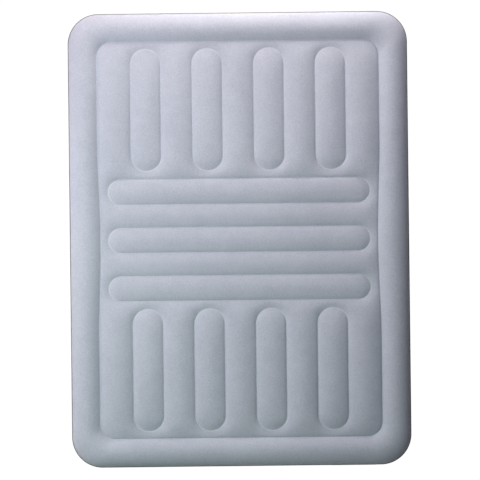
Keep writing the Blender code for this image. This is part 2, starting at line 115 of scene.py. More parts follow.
class Signal:
    """A shader socket that does sums: + - * / with numbers or other signals add Math nodes."""

    def __init__(self, graph, socket):
        self.graph = graph
        self.socket = socket

    def combine(self, operation, first, second):
        sums = self.graph.add("ShaderNodeMath", {"operation": operation}, {0: first, 1: second})
        return sums.out("Value")

    def __add__(self, other):
        return self.combine("ADD", self, other)

    def __radd__(self, other):
        return self.combine("ADD", other, self)

    def __sub__(self, other):
        return self.combine("SUBTRACT", self, other)

    def __rsub__(self, other):
        return self.combine("SUBTRACT", other, self)

    def __mul__(self, other):
        return self.combine("MULTIPLY", self, other)

    def __rmul__(self, other):
        return self.combine("MULTIPLY", other, self)


class Step:
    """One node of a finish."""

    def __init__(self, graph, node):
        self.graph = graph
        self.node = node

    def out(self, name):
        return Signal(self.graph, self.node.outputs[name])


class Finish:
    """A material made of nodes round one Principled shader."""

    def __init__(self, name, **constants):
        self.material = bpy.data.materials.new(name)
        self.material.use_nodes = True
        self.tree = self.material.node_tree
        self.shader = self.tree.nodes["Principled BSDF"]
        for socket, value in constants.items():
            self.shader.inputs[socket.replace("_", " ")].default_value = value
        self.place = self.add("ShaderNodeTexCoord", {}, {}).out("Object")

    def add(self, kind, settings, inputs):
        """Adds a node: settings are set first, then each input takes a value or a signal's link."""
        node = self.tree.nodes.new(kind)
        for setting, value in settings.items():
            setattr(node, setting, value)
        for socket, value in inputs.items():
            self.feed(node.inputs[socket], value)
        return Step(self, node)

    def feed(self, socket, value):
        if isinstance(value, Signal):
            self.tree.links.new(value.socket, socket)
        else:
            socket.default_value = value

    def noise(self, scale, detail=3.0, roughness=0.5, vector=None):
        """Smooth random grain of about 1 / scale metres, from 0 to 1."""
        inputs = {"Vector": vector or self.place, "Scale": scale, "Detail": detail, "Roughness": roughness}
        return self.add("ShaderNodeTexNoise", {}, inputs).out("Fac")

    def blend(self, share, first, second):
        """A colour share of the way from first to second."""
        settings = {"data_type": "RGBA"}
        mixed = self.add("ShaderNodeMix", settings, {"Factor": share})
        self.feed(mixed.node.inputs[6], first)
        self.feed(mixed.node.inputs[7], second)
        return Signal(self, mixed.node.outputs[2])

    def stored(self, name):
        """A number kept at each vertex of the piece."""
        return self.add("ShaderNodeAttribute", {"attribute_name": name}, {}).out("Fac")

    def bump(self, height, strength, distance):
        """Raises the shading by height times distance, in metres."""
        inputs = {"Height": height, "Strength": strength, "Distance": distance}
        return self.add("ShaderNodeBump", {}, inputs).out("Normal")

    def set(self, **signals):
        for socket, value in signals.items():
            self.feed(self.shader.inputs[socket.replace("_", " ")], value)
        return self.material


def floor_finish():
    """White to the camera but for a small share of matt grey, which carries a faint contact shadow."""
    made = Finish("studio_floor", Roughness=1.0)
    glow = made.add("ShaderNodeEmission", {}, {"Color": (1, 1, 1, 1), "Strength": 1.05})
    matt = made.add("ShaderNodeBsdfDiffuse", {}, {"Color": (0.8, 0.8, 0.8, 1)})
    seen = made.add("ShaderNodeLightPath", {}, {}).out("Is Camera Ray")
    mix = made.add("ShaderNodeMixShader", {}, {0: seen * 0.97, 1: matt.out("BSDF"), 2: glow.out("Emission")})
    made.feed(made.tree.nodes["Material Output"].inputs["Surface"], mix.out("Shader"))
    return made.material


FLOOR_HALF = 14.0
FLOOR_DROP = 0.001
floor_mesh = bpy.data.meshes.new("studio_floor")
floor_corners = [(x, y, -FLOOR_DROP) for x, y in ((-1, -1), (1, -1), (1, 1), (-1, 1))]
floor_mesh.from_pydata([(x * FLOOR_HALF, y * FLOOR_HALF, z) for x, y, z in floor_corners], [], [(0, 1, 2, 3)])
floor_mesh.materials.append(floor_finish())
floor = bpy.data.objects.new("studio_floor", floor_mesh)
scene.collection.objects.link(floor)


# Flocked top: one sheet of vinyl with a short velvet flock, welded along every seam to the beams below it
# and rolled over the perimeter chamber down to the edge weld. Pressure arches it between the welds.
HALF_W, HALF_L, HEIGHT = np.array(CAD_BOX[1])
BEAM_T = 0.0008
beam_edge = np.array(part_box("perimeter_beam")[1])
SEAM_HALF_L = beam_edge[1] - BEAM_T / 2
CHAMBER_W = HALF_L - SEAM_HALF_L
SEAM_HALF_W = HALF_W - CHAMBER_W
CORNER_R = 0.138
SEAM_CORNER_R = 0.07
WAIST = 0.011
WAIST_HALF_L = 0.45
SEAM_ANGLE = math.radians(52)
WELD_ANGLE = math.radians(20)
CHAMBER_RX = CHAMBER_W / (1 + math.sin(SEAM_ANGLE))
CHAMBER_RZ = 0.068
SEAM_Z = HEIGHT - CHAMBER_RZ * (1 - math.cos(SEAM_ANGLE))
TOP_T = 0.0010

LONG_RUN, SHORT_RUN, CORNER_RUN = 150, 108, 18
SEAM_ROWS = (0.0017, 0.0036, 0.0066, 0.0110, 0.0170, 0.0240)
SEAM_PITCH = 0.011
OPEN_PITCH = 0.0135
WELD_HALF_W = 0.0018


def waist_pull(y):
    """How far the long seams are drawn in: a raised cosine of y, full at the middle, none past the beams."""
    inside = np.abs(y) < WAIST_HALF_L
    return np.where(inside, WAIST * (1 + np.cos(np.pi * y / WAIST_HALF_L)) / 2, 0)


def plan_ring(inset):
    """The bed's plan outline moved in by inset: four runs and four arcs, always the same count of points.

    Corner radius and waist blend linearly from the outer edge's to the inner seam's as inset grows.
    """
    share = np.clip(inset / CHAMBER_W, 0, 1)
    half = np.array([HALF_W - inset, HALF_L - inset])
    radius = CORNER_R + (SEAM_CORNER_R - CORNER_R) * share
    turn = np.linspace(0, np.pi / 2, CORNER_RUN + 1)
    stretches = []
    for quarter, signs in enumerate(((1, -1), (1, 1), (-1, 1), (-1, -1))):
        angle = turn + (quarter - 1) * np.pi / 2
        arc = np.stack([np.cos(angle), np.sin(angle)], 1) * radius + np.array(signs) * (half - radius)
        ahead = {0: (1, 1), 1: (-1, 1), 2: (-1, -1), 3: (1, -1)}[quarter]
        along = np.linspace(0, 1, (LONG_RUN, SHORT_RUN)[quarter % 2] + 1)[1:-1, None]
        start = arc[-1]
        corner_angle = quarter * np.pi / 2
        facing = np.array([math.cos(corner_angle), math.sin(corner_angle)])
        end = facing * radius + np.array(ahead) * (half - radius)
        stretches += [arc, start + (end - start) * along]
    ring = np.concatenate(stretches)
    ring[:, 0] -= np.sign(ring[:, 0]) * share * waist_pull(ring[:, 1])
    return ring


def ring_normals(ring):
    """Outward unit normals of a closed ring that runs counter-clockwise, from its central differences."""
    step = np.roll(ring, -1, 0) - np.roll(ring, 1, 0)
    return np.stack([step[:, 1], -step[:, 0]], 1) / np.linalg.norm(step, axis=1)[:, None]


def beam_plan(name):
    """Centre, half run, radius and direction of a beam's seam, from its solid's box less half the vinyl."""
    low, high = (np.array(corner)[:2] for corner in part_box(name))
    half = (high - low) / 2 - BEAM_T / 2
    upright = bool(half[1] > half[0])
    return (low + high) / 2, abs(half[1] - half[0]), half.min(), upright


BEAMS = {name: beam_plan(name) for name in sorted(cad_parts) if "_beam_" in name}


def stadium_ring(plan, outset):
    """A beam's seam grown by outset: two straight runs and two half circles about the same end centres."""
    centre, run, radius, upright = plan
    cap = np.linspace(-np.pi / 2, np.pi / 2, round(np.pi * radius / SEAM_PITCH) + 1)
    way = np.linspace(1, -1, round(2 * run / SEAM_PITCH) + 1)[1:-1]
    reach = radius + outset
    end = np.stack([run + reach * np.cos(cap), reach * np.sin(cap)], 1)
    side = np.stack([run * way, np.full_like(way, reach)], 1)
    ring = np.concatenate([end, side, -end, -side])
    if upright:
        ring = np.stack([-ring[:, 1], ring[:, 0]], 1)
    return ring + centre


def stadium_distance(plan, points):
    """Signed distance from a beam's seam: distance to its centre line less its radius."""
    centre, run, radius, upright = plan
    local = points - centre
    along, across = (local[:, 1], local[:, 0]) if upright else (local[:, 0], local[:, 1])
    return np.hypot(np.maximum(np.abs(along) - run, 0), across) - radius


def border_distance(points):
    """Distance inwards from the perimeter seam, a rounded rectangle drawn in at the waist."""
    qx = np.abs(points[:, 0]) + waist_pull(points[:, 1]) - (SEAM_HALF_W - SEAM_CORNER_R)
    qy = np.abs(points[:, 1]) - (SEAM_HALF_L - SEAM_CORNER_R)
    outside = np.hypot(np.maximum(qx, 0), np.maximum(qy, 0))
    return SEAM_CORNER_R - outside - np.minimum(np.maximum(qx, qy), 0)


def seam_distances(points):
    """One row for each seam, the perimeter first: how far every point is from it."""
    beams = [np.abs(stadium_distance(plan, points)) for plan in BEAMS.values()]
    return np.array([np.abs(border_distance(points))] + beams)


def field_net():
    """Triangulates the field inside the perimeter seam: rows that follow each seam, and an even net between.

    Returns plan points, triangles, and the distance of each point from the nearest seam.
    """
    border = plan_ring(CHAMBER_W)
    inward = -ring_normals(border)
    rows = [(0, border + inward * row) for row in SEAM_ROWS]
    loops = []
    for index, plan in enumerate(BEAMS.values(), 1):
        loops.append(stadium_ring(plan, 0))
        rows += [(index, stadium_ring(plan, side * row)) for row in SEAM_ROWS for side in (-1, 1)]
    kept = []
    for index, ring in rows:
        reach = seam_distances(ring)
        own = reach[index].copy()
        reach[index] = np.inf
        kept.append(ring[(reach.min(0) > np.maximum(own, 0.004)) & (border_distance(ring) > 0)])
    across = np.arange(-HALF_W, HALF_W, OPEN_PITCH)
    down = np.arange(-HALF_L, HALF_L, OPEN_PITCH * math.sqrt(3) / 2)
    x, y = np.meshgrid(across, down)
    x[1::2] += OPEN_PITCH / 2
    open_points = np.stack([x.ravel(), y.ravel()], 1)
    near = seam_distances(open_points).min(0)
    open_points = open_points[(near > SEAM_ROWS[-1] + OPEN_PITCH / 2) & (border_distance(open_points) > 0)]
    flat = np.concatenate([border] + loops + kept + [open_points])
    edges, start = [], len(border)
    for loop in loops:
        ids = np.arange(len(loop))
        edges.append(np.stack([ids, np.roll(ids, -1)], 1) + start)
        start += len(loop)
    vectors = [Vector(p) for p in flat.tolist()]
    outline = [list(range(len(border)))]
    spots, _, faces, _, _, _ = delaunay_2d_cdt(vectors, np.concatenate(edges).tolist(), outline, 1, 1e-7)
    points = np.array([tuple(p) for p in spots])
    return points, np.array(faces), seam_distances(points).min(0)


def inflate(points, triangles, held):
    """Membrane under even pressure: solves minus the Laplacian of u = 1 with u = 0 where the sheet is held.

    Cotangent weights turn the sheet into springs along the triangles' edges; conjugate gradients solve for u.
    """
    ends, weights, load = [], [], np.zeros(len(points))
    for corner in range(3):
        a, b, c = (triangles[:, (corner + k) % 3] for k in range(3))
        ab, ac = points[b] - points[a], points[c] - points[a]
        cross = ab[:, 0] * ac[:, 1] - ab[:, 1] * ac[:, 0]
        ends.append(np.stack([b, c], 1))
        weights.append((ab * ac).sum(1) / np.maximum(np.abs(cross), 1e-12) / 2)
        load += np.bincount(a, np.abs(cross) / 6, len(points))
    ends, weights = np.concatenate(ends), np.concatenate(weights)
    free = ~held
    near, far = ends.T
    both = np.concatenate([near, far])
    diagonal = np.bincount(both, np.tile(weights, 2), len(points))
    diagonal[diagonal <= 0] = 1

    def pull(u):
        drop = weights * (u[near] - u[far])
        return (np.bincount(near, drop, len(u)) - np.bincount(far, drop, len(u))) * free

    u = np.zeros(len(points))
    rest = load * free
    guess = rest / diagonal
    way = guess.copy()
    power = rest @ guess
    for _ in range(1500):
        pulled = pull(way)
        step = power / (way @ pulled)
        u += step * way
        rest -= step * pulled
        guess = rest / diagonal
        gained = rest @ guess
        if gained < 1e-14 * (load @ load) ** 0.5:
            break
        way = guess + way * (gained / power)
        power = gained
    return u


def drift(points, reach, size, seed):
    """A slow random wander: a sum of six plane waves of about reach metres, scaled to size."""
    draw = np.random.default_rng(seed)
    angle = draw.uniform(0, 2 * np.pi, 6)
    rate = 2 * np.pi / (reach * draw.uniform(0.7, 1.5, 6))
    wave = np.stack([np.cos(angle), np.sin(angle)], 0) * rate
    return size / 2 * np.sin(points @ wave + draw.uniform(0, 2 * np.pi, 6)).sum(1) / 6 ** 0.5


def surface_object(name, points, faces, smooth=True):
    """Puts whole arrays of points and faces into a new mesh object."""
    mesh = bpy.data.meshes.new(name)
    mesh.from_pydata(points.tolist(), [], [tuple(f) for f in faces.tolist()])
    mesh.update()
    if smooth:
        mesh.shade_smooth()
    made = bpy.data.objects.new(name, mesh)
    scene.collection.objects.link(made)
    return made


def weld_joins(obj, reach=2e-5):
    """Makes one point of any that lie within reach of each other."""
    work = bmesh.new()
    work.from_mesh(obj.data)
    bmesh.ops.remove_doubles(work, verts=work.verts, dist=reach)
    work.to_mesh(obj.data)
    work.free()


def store(obj, name, values):
    obj.data.attributes.new(name, "FLOAT", "POINT").data.foreach_set("value", values.astype(np.float32))


def ring_faces(rows, count, closed=False):
    """Quads between neighbouring rings of count points; closed joins the last ring back to the first."""
    i = np.arange(count)
    j = np.roll(i, -1)
    quads = [np.stack([r * count + i, r * count + j, s * count + j, s * count + i], 1)
             for r, s in zip(range(rows - 1), range(1, rows))]
    if closed:
        last = (rows - 1) * count
        quads.append(np.stack([last + i, last + j, j, i], 1))
    return np.concatenate(quads)


def thicken(obj, thickness):
    """Gives a sheet its thickness, inwards from the side that shows."""
    wall = obj.modifiers.new("vinyl thickness", "SOLIDIFY")
    wall.thickness = thickness
    wall.offset = -1
    wall.use_even_offset = True


def rim_section(angle, out=0.0):
    """Inset and height, out beyond the chamber's ellipse; the angle is 0 at the side, pi / 2 at the crest."""
    normal = np.stack([-CHAMBER_RZ * np.cos(angle), CHAMBER_RX * np.sin(angle)], -1)
    normal = normal / np.linalg.norm(normal, axis=-1, keepdims=True)
    inset = CHAMBER_RX * (1 - np.cos(angle)) + out * normal[..., 0]
    return inset, HEIGHT - CHAMBER_RZ * (1 - np.sin(angle)) + out * normal[..., 1]


TIP_REACH = 0.030
TIP_SLACK = 0.55


def tip_nearness(points):
    """1 at a beam's two tips, falling to 0 where its straight run begins and TIP_REACH away from its seam.

    Both falls are the smooth step 3t^2 - 2t^3; where beams are close, the larger value counts.
    """
    nearness = np.zeros(len(points))
    for plan in BEAMS.values():
        centre, run, radius, upright = plan
        along = np.abs((points - centre)[:, 1 if upright else 0])
        past = np.clip((along - run) / radius, 0, 1)
        fade = np.clip(1 - np.abs(stadium_distance(plan, points)) / TIP_REACH, 0, 1)
        nearness = np.maximum(nearness, past ** 2 * (3 - 2 * past) * fade ** 2 * (3 - 2 * fade))
    return nearness


FIELD_POINTS, FIELD_TRIANGLES, FIELD_NEAR = field_net()
FIELD_TIPS = tip_nearness(FIELD_POINTS)
ARCH_C = 0.145
WELD_DIP = 0.0027
DIP_REACH = 0.0034


def arch_height(points, near, tips, triangles):
    """Circular arches between the welds, with a small sharp dip into each weld, both flatter at the tips.

    An arch rises sqrt(c^2 + 2u) - c, where u is the membrane's height and c is ARCH_C.
    """
    swell = inflate(points, triangles, near < WELD_HALF_W)
    arch = np.sqrt(ARCH_C ** 2 + 2 * swell) - ARCH_C
    fall = 1 - np.exp(-np.maximum(near - WELD_HALF_W, 0) / DIP_REACH)
    rise = arch * (1 + drift(points, 0.35, 0.10, 3)) + WELD_DIP * fall
    return rise * (1 - TIP_SLACK * tips)


def flocked_top():
    field_z = SEAM_Z + arch_height(FIELD_POINTS, FIELD_NEAR, FIELD_TIPS, FIELD_TRIANGLES)
    outer_bend = np.linspace(WELD_ANGLE, np.pi / 2, 15)
    inner_bend = np.linspace(np.pi / 2, np.pi / 2 + SEAM_ANGLE, 14)
    bend = np.concatenate([outer_bend, inner_bend[1:]])
    rings = []
    for angle in bend[:-1]:
        inset, z = rim_section(angle)
        ring = plan_ring(inset)
        rings.append(np.column_stack([ring, np.full(len(ring), z)]))
    border = plan_ring(CHAMBER_W)
    rings.append(np.column_stack([border, np.full(len(border), SEAM_Z)]))
    count = len(border)
    rim = np.concatenate(rings)
    rim_quads = ring_faces(len(rings), count)
    # The net's outermost points are the rim's last ring, so those are joined up by place.
    field = np.column_stack([FIELD_POINTS, field_z])
    faces = np.concatenate([rim_quads[:, [0, 1, 2]], rim_quads[:, [0, 2, 3]], FIELD_TRIANGLES + len(rim)])
    points = np.concatenate([rim, field])
    top = surface_object("flocked_top", points, faces)
    rim_insets = [rim_section(angle)[0] for angle in bend[:-1]] + [CHAMBER_W]
    rim_near = np.abs(np.repeat(rim_insets, count) - CHAMBER_W)
    store(top, "weld", np.exp(-(np.concatenate([rim_near, FIELD_NEAR]) / 0.0026) ** 2))
    store(top, "tip", np.concatenate([np.zeros(len(rim)), FIELD_TIPS]))
    weld_joins(top)
    thicken(top, TOP_T)
    return top


def flock_finish():
    made = Finish("flock", Roughness=0.95, Sheen_Weight=0.35, Sheen_Roughness=0.45)
    made.shader.inputs["Sheen Tint"].default_value = (0.95, 0.95, 1.0, 1)
    made.shader.inputs["Specular IOR Level"].default_value = 0.15
    brushed = made.noise(3.5, 5, 0.6) * 0.9 + made.noise(20, 4, 0.65) * 0.7
    brushed = brushed + made.noise(230, 2, 0.6) * 2.6 - 1.6
    fibre = made.noise(900, 2, 0.7)
    tone = made.blend(brushed, (0.425, 0.445, 0.535, 1), (0.545, 0.565, 0.655, 1))
    weld = made.stored("weld")
    tone = made.blend(weld * (made.stored("tip") * 0.5 + 0.3), tone, (0.66, 0.68, 0.76, 1))
    return made.set(Base_Color=tone, Normal=made.bump(fibre, 0.25, 0.0006))


top_object = flocked_top()
top_object.data.materials.append(flock_finish())
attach(top_object, "mattress")
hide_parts("top_sheet")


# Side wall: one long strip of plain embossed vinyl that stands between the two edge welds, which pull small
# pleats into it. Its two ends stop at the short panel that carries the valve.
SIDE_T = 0.0008
LAP_ANGLE = 0.0006 / (2 * CHAMBER_RZ)
VALVE_X = 0.50
panel_low, panel_high = (np.array(corner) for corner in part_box("valve_panel"))
PANEL_LAP = 0.012
PANEL_HALF_W = (panel_high[0] - panel_low[0]) / 2 - PANEL_LAP
PANEL_CLEAR = 0.006
WELD_Z = HEIGHT - rim_section(WELD_ANGLE)[1]
PLEAT_FADE = 0.025


def side_section(rows, sink=0.0):
    """Inset and height from lower weld to upper: two ends of the chamber's ellipse, a flat between."""
    reach = WELD_ANGLE - LAP_ANGLE
    inset, z = rim_section(np.linspace(0, reach, rows), -sink)
    flat = np.linspace(HEIGHT - z[0], z[0], 9)[1:-1]
    insets = np.concatenate([inset[::-1], np.full(7, inset[0]), inset])
    return insets, np.concatenate([HEIGHT - z[::-1], flat, z])


def run_length(ring):
    """Distance walked along a ring of plan points up to each of them."""
    return np.concatenate([[0], np.linalg.norm(np.diff(ring, axis=0), axis=1).cumsum()])


def tug(along, away):
    """Small pleats that a weld pulls into the vinyl beside it: two sines along it, fading over PLEAT_FADE."""
    waves = np.sin(along * 2 * np.pi / 0.083) + np.sin(along * 2 * np.pi / 0.051 + 1.3) * 0.7
    slow = 0.6 + 0.4 * np.sin(along * 2 * np.pi / 0.61 + 0.4)
    return 0.00028 * waves * slow * np.exp(-away / PLEAT_FADE)


def grid_faces(rows, columns):
    """Quads of an open grid kept row by row."""
    corner = (np.arange(rows - 1)[:, None] * columns + np.arange(columns - 1)[None, :]).ravel()
    return np.stack([corner, corner + 1, corner + 1 + columns, corner + columns], 1)


def side_wall():
    outer = plan_ring(0.0)
    foot_run = outer[:, 1] < -HALF_L + 1e-6
    opening = PANEL_HALF_W + PANEL_CLEAR
    past = np.where(foot_run & (outer[:, 0] > VALVE_X + opening), outer[:, 0], np.inf).argmin()
    window = foot_run & (np.abs(outer[:, 0] - VALVE_X) < opening)
    keep = np.roll(~window, -past)
    rows = []
    for inset, z in zip(*side_section(5)):
        ring = np.roll(plan_ring(inset), -past, axis=0)[keep]
        foot = ring[[0, -1]].copy()
        foot[:, 0] = VALVE_X + PANEL_HALF_W, VALVE_X - PANEL_HALF_W
        ring = np.concatenate([foot[:1], ring, foot[1:]])
        away = min(abs(HEIGHT - WELD_Z - z), abs(z - WELD_Z))
        push = np.minimum(tug(run_length(ring), away), 0) * np.clip(away / 0.012, 0, 1)
        step = np.gradient(ring, axis=0)
        normal = np.stack([step[:, 1], -step[:, 0]], 1) / np.linalg.norm(step, axis=1)[:, None]
        ring = ring + normal * push[:, None]
        rows.append(np.column_stack([ring, np.full(len(ring), z)]))
    strip = surface_object("side_wall_strip", np.concatenate(rows), grid_faces(len(rows), len(rows[0])))
    thicken(strip, SIDE_T)
    return strip


def vinyl_finish(name, dark, light, roughness, grain=0.00012):
    """Plain calendered vinyl: a fine leather-like emboss, faint bloom, and slow changes of tone and gloss."""
    made = Finish(name)
    made.shader.inputs["Specular IOR Level"].default_value = 0.45
    cloud = made.noise(6, 3, 0.55)
    tone = made.blend(cloud, dark, light)
    pebble = made.add("ShaderNodeTexVoronoi", {"feature": "SMOOTH_F1"}, {"Vector": made.place, "Scale": 620})
    emboss = pebble.out("Distance") + made.noise(1400, 2, 0.5) * 0.4
    gloss = made.noise(14, 4, 0.6) * 0.16 + (roughness - 0.08)
    return made.set(Base_Color=tone, Roughness=gloss, Normal=made.bump(emboss, 0.55, grain))


side_vinyl = vinyl_finish("side_vinyl", (0.262, 0.270, 0.304, 1), (0.300, 0.308, 0.342, 1), 0.52)
side_object = side_wall()
side_object.data.materials.append(side_vinyl)
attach(side_object, "mattress")
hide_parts("side_wall")


# Valve panel: a short length of the same vinyl with a round hole for the valve. Both its ends step inwards
# and are welded behind the ends of the side strip.
valve_low, valve_high = (np.array(corner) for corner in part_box("valve_base"))
FLANGE_R = (valve_high[0] - valve_low[0]) / 2
VALVE_Z = (valve_high[2] + valve_low[2]) / 2
FLANGE_W = 0.0046
HOLE_R = FLANGE_R - FLANGE_W + 0.0003
PANEL_STEP = 0.0020


def valve_panel():
    """The side's section carried along X, with rings that blend from the hole's circle to the panel's edge.

    A ray from the hole's centre meets the panel's edge at reach; rows lie evenly between circle and edge.
    """
    top_z = side_section(5)[1].max()
    half = np.array([PANEL_HALF_W + PANEL_LAP, top_z - VALVE_Z])
    count = 192
    angle = np.linspace(0, 2 * np.pi, count, endpoint=False)
    corner = np.arctan2(half[1], half[0])
    for turn in (corner, np.pi - corner, np.pi + corner, 2 * np.pi - corner):
        angle[np.abs(angle - turn).argmin()] = turn
    ray = np.stack([np.cos(angle), np.sin(angle)], 1)
    reach = 1 / np.maximum(np.abs(ray[:, 0]) / half[0], np.abs(ray[:, 1]) / half[1])
    shares = np.linspace(0, 1, 27) ** 0.9
    flat = ray[None] * (HOLE_R + (reach - HOLE_R)[None, :] * shares[:, None])[..., None]
    x, up = flat[..., 0].ravel(), flat[..., 1].ravel()
    rise = np.maximum(np.abs(up) - (HEIGHT / 2 - CHAMBER_RZ), 0)
    lean = np.arcsin(np.clip(rise / CHAMBER_RZ, 0, 1))
    sink = (SIDE_T + 0.0003) * np.clip((np.abs(x) - PANEL_HALF_W + PANEL_STEP) / (PANEL_STEP - 0.0006), 0, 1)
    inset = CHAMBER_RX * (1 - np.cos(lean)) + sink
    points = np.column_stack([VALVE_X + x, inset - HALF_L, VALVE_Z + up])
    panel = surface_object("valve_panel_sheet", points, ring_faces(len(shares), count))
    thicken(panel, SIDE_T)
    return panel


panel_object = valve_panel()
panel_object.data.materials.append(side_vinyl)
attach(panel_object, "mattress")
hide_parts("valve_panel")


# Bottom sheet: plain vinyl, flat where it lies on the floor and rolled up to the lower edge weld. The beams
# are welded to its inside, which leaves the same pattern of faint pressed lines as on the top.
BOTTOM_T = 0.0008


def bottom_sheet():
    bend = np.linspace(np.pi / 2, WELD_ANGLE + LAP_ANGLE, 13)
    border = plan_ring(CHAMBER_W)
    count = len(border)
    insets = np.concatenate([[CHAMBER_W], np.linspace(CHAMBER_W, CHAMBER_RX, 6)[1:-1]])
    rings = [np.column_stack([plan_ring(inset), np.zeros(count)]) for inset in insets]
    lengths = run_length(plan_ring(0.0))
    for angle in bend:
        inset, z = rim_section(angle)
        fold = tug(lengths, CHAMBER_RZ * (angle - WELD_ANGLE)) * np.clip((angle - WELD_ANGLE) / 0.2, 0, 1)
        ring = plan_ring(inset)
        ring = ring + ring_normals(ring) * np.minimum(fold, 0)[:, None]
        rings.append(np.column_stack([ring, np.full(count, HEIGHT - z)]))
    rim = np.concatenate(rings)
    field = np.column_stack([FIELD_POINTS, np.zeros(len(FIELD_POINTS))])
    quads = ring_faces(len(rings), count)
    quads = np.concatenate([quads[:, [2, 1, 0]], quads[:, [3, 2, 0]]])
    faces = np.concatenate([quads[:, ::-1], FIELD_TRIANGLES[:, ::-1] + len(rim)])
    sheet = surface_object("bottom_sheet_vinyl", np.concatenate([rim, field]), faces)
    near_rings = np.repeat(np.abs(insets - CHAMBER_W), count)
    near = np.concatenate([near_rings, np.full(count * len(bend), 1.0), FIELD_NEAR])
    store(sheet, "weld", np.exp(-(near / 0.0030) ** 2))
    weld_joins(sheet)
    thicken(sheet, BOTTOM_T)
    return sheet


def bottom_finish():
    """The side's vinyl again, with each weld line pressed smooth and a shade darker."""
    made = Finish("bottom_vinyl")
    made.shader.inputs["Specular IOR Level"].default_value = 0.45
    line = made.stored("weld")
    tone = made.blend(made.noise(5, 3, 0.55), (0.250, 0.258, 0.290, 1), (0.290, 0.298, 0.330, 1))
    tone = made.blend(line * 0.7, tone, (0.165, 0.172, 0.194, 1))
    pebble = made.add("ShaderNodeTexVoronoi", {"feature": "SMOOTH_F1"}, {"Vector": made.place, "Scale": 620})
    raised = pebble.out("Distance") * (1 - line) * 0.12 + made.noise(3.5, 3, 0.5) * 3.0 - line * 2.2
    gloss = made.noise(12, 4, 0.6) * 0.16 + 0.46 - line * 0.16
    return made.set(Base_Color=tone, Roughness=gloss, Normal=made.bump(raised, 0.8, 0.0006))


bottom_object = bottom_sheet()
bottom_object.data.materials.append(bottom_finish())
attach(bottom_object, "mattress")
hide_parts("bottom_sheet")


# Edge welds: two bands of glossier vinyl that run all the way round, one where the top meets the side
# and one where the bottom does. Their near-black tone is painted shade: it stands in for the shadowed line
# where the side wall turns under the rim. The heat tool leaves a row of fine ribs across each.
WELD_T = 0.0010
WELD_HALF_H = 0.0040
WELD_GAP = 0.0003
RIB_PITCH = 0.0032


def edge_weld(name, upside_down):
    """A flat rounded section carried round the bed on the chamber's ellipse, by angle and distance out."""
    half = WELD_HALF_H / CHAMBER_RZ
    lap = np.linspace(-1, 1, 9)
    crown = WELD_GAP + WELD_T * (1 - 0.55 * lap ** 6)
    angles = WELD_ANGLE + half * np.concatenate([lap, lap[::-1]])
    outs = np.concatenate([crown, np.full(9, WELD_GAP)])
    rows = []
    for angle, out in zip(angles, outs):
        inset, z = rim_section(angle, out)
        ring = plan_ring(inset)
        rows.append(np.column_stack([ring, np.full(len(ring), HEIGHT - z if upside_down else z)]))
    faces = ring_faces(len(rows), len(rows[0]), closed=True)
    band = surface_object(name, np.concatenate(rows), faces[:, ::-1] if upside_down else faces)
    around = np.tile(run_length(rows[0][:, :2]), len(rows))
    store(band, "along", around)
    return band


def weld_finish_with_painted_shade():
    made = Finish("weld_vinyl")
    made.shader.inputs["Specular IOR Level"].default_value = 0.5
    # Painted shade: this near-black tone stands in for the shadowed line under the rim's edge.
    tone = made.blend(made.noise(7, 3, 0.55), (0.085, 0.088, 0.096, 1), (0.110, 0.114, 0.124, 1))
    phase = made.stored("along") * (2 * math.pi / RIB_PITCH)
    ribs = made.add("ShaderNodeMath", {"operation": "SINE"}, {0: phase}).out("Value")
    gloss = made.noise(20, 3, 0.6) * 0.14 + 0.30
    return made.set(Base_Color=tone, Roughness=gloss, Normal=made.bump(ribs, 0.6, 0.00012))


# The weld bands' dark tone is painted shade along the bed's edges.
weld_vinyl = weld_finish_with_painted_shade()
for node, upside_down in (("top_edge_weld", False), ("bottom_edge_weld", True)):
    weld_object = edge_weld(node + "_band", upside_down)
    weld_object.data.materials.append(weld_vinyl)
    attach(weld_object, "mattress")
    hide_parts(node)


# Air beams: upright bands of clear-grey vinyl inside the bed, welded to the top and bottom sheets, with holes
# that let the air through. They stay as they were built, under the sheets, in a finish of their own.
def beam_finish():
    made = Finish("beam_vinyl")
    made.shader.inputs["Specular IOR Level"].default_value = 0.5
    tone = made.blend(made.noise(8, 3, 0.55), (0.50, 0.52, 0.57, 1), (0.60, 0.62, 0.66, 1))
    gloss = made.noise(25, 4, 0.6) * 0.2 + 0.42
    return made.set(Base_Color=tone, Roughness=gloss, Normal=made.bump(made.noise(300, 3, 0.5), 0.4, 0.0002))


beam_vinyl = beam_finish()
for name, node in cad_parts.items():
    if "_beam" in name:
        node.data.materials.clear()
        node.data.materials.append(beam_vinyl)


# Valve base: a cup moulded in semi-rigid vinyl, sunk into the panel, with a flange welded behind it. A neck
# in its middle takes the insert, and six low webs stiffen the cup's floor.
CUP_WALL = 0.0014
CUP_DEPTH = 0.013
CUP_OUTER = FLANGE_R - FLANGE_W
CUP_R = CUP_OUTER - CUP_WALL
NECK_WALL = 0.0018
NECK_DEPTH = 0.030
HEAD_OVERHANG = 0.0024
HEAD_R = CUP_R - 0.0128
NECK_R = HEAD_R - HEAD_OVERHANG - NECK_WALL
FLANGE_T = 0.0016
GAP = 0.0003
PLUG_SINK = 0.0004
PLUG_HEAD_T = 0.0014
HEAD_T = 0.0026
SEAL_T = 0.0016
HEAD_TOP = -(PLUG_SINK + PLUG_HEAD_T + GAP)
HEAD_BOTTOM = HEAD_TOP - HEAD_T
NECK_LIP = HEAD_BOTTOM - SEAL_T - 2 * GAP
TURN_STEPS = 112


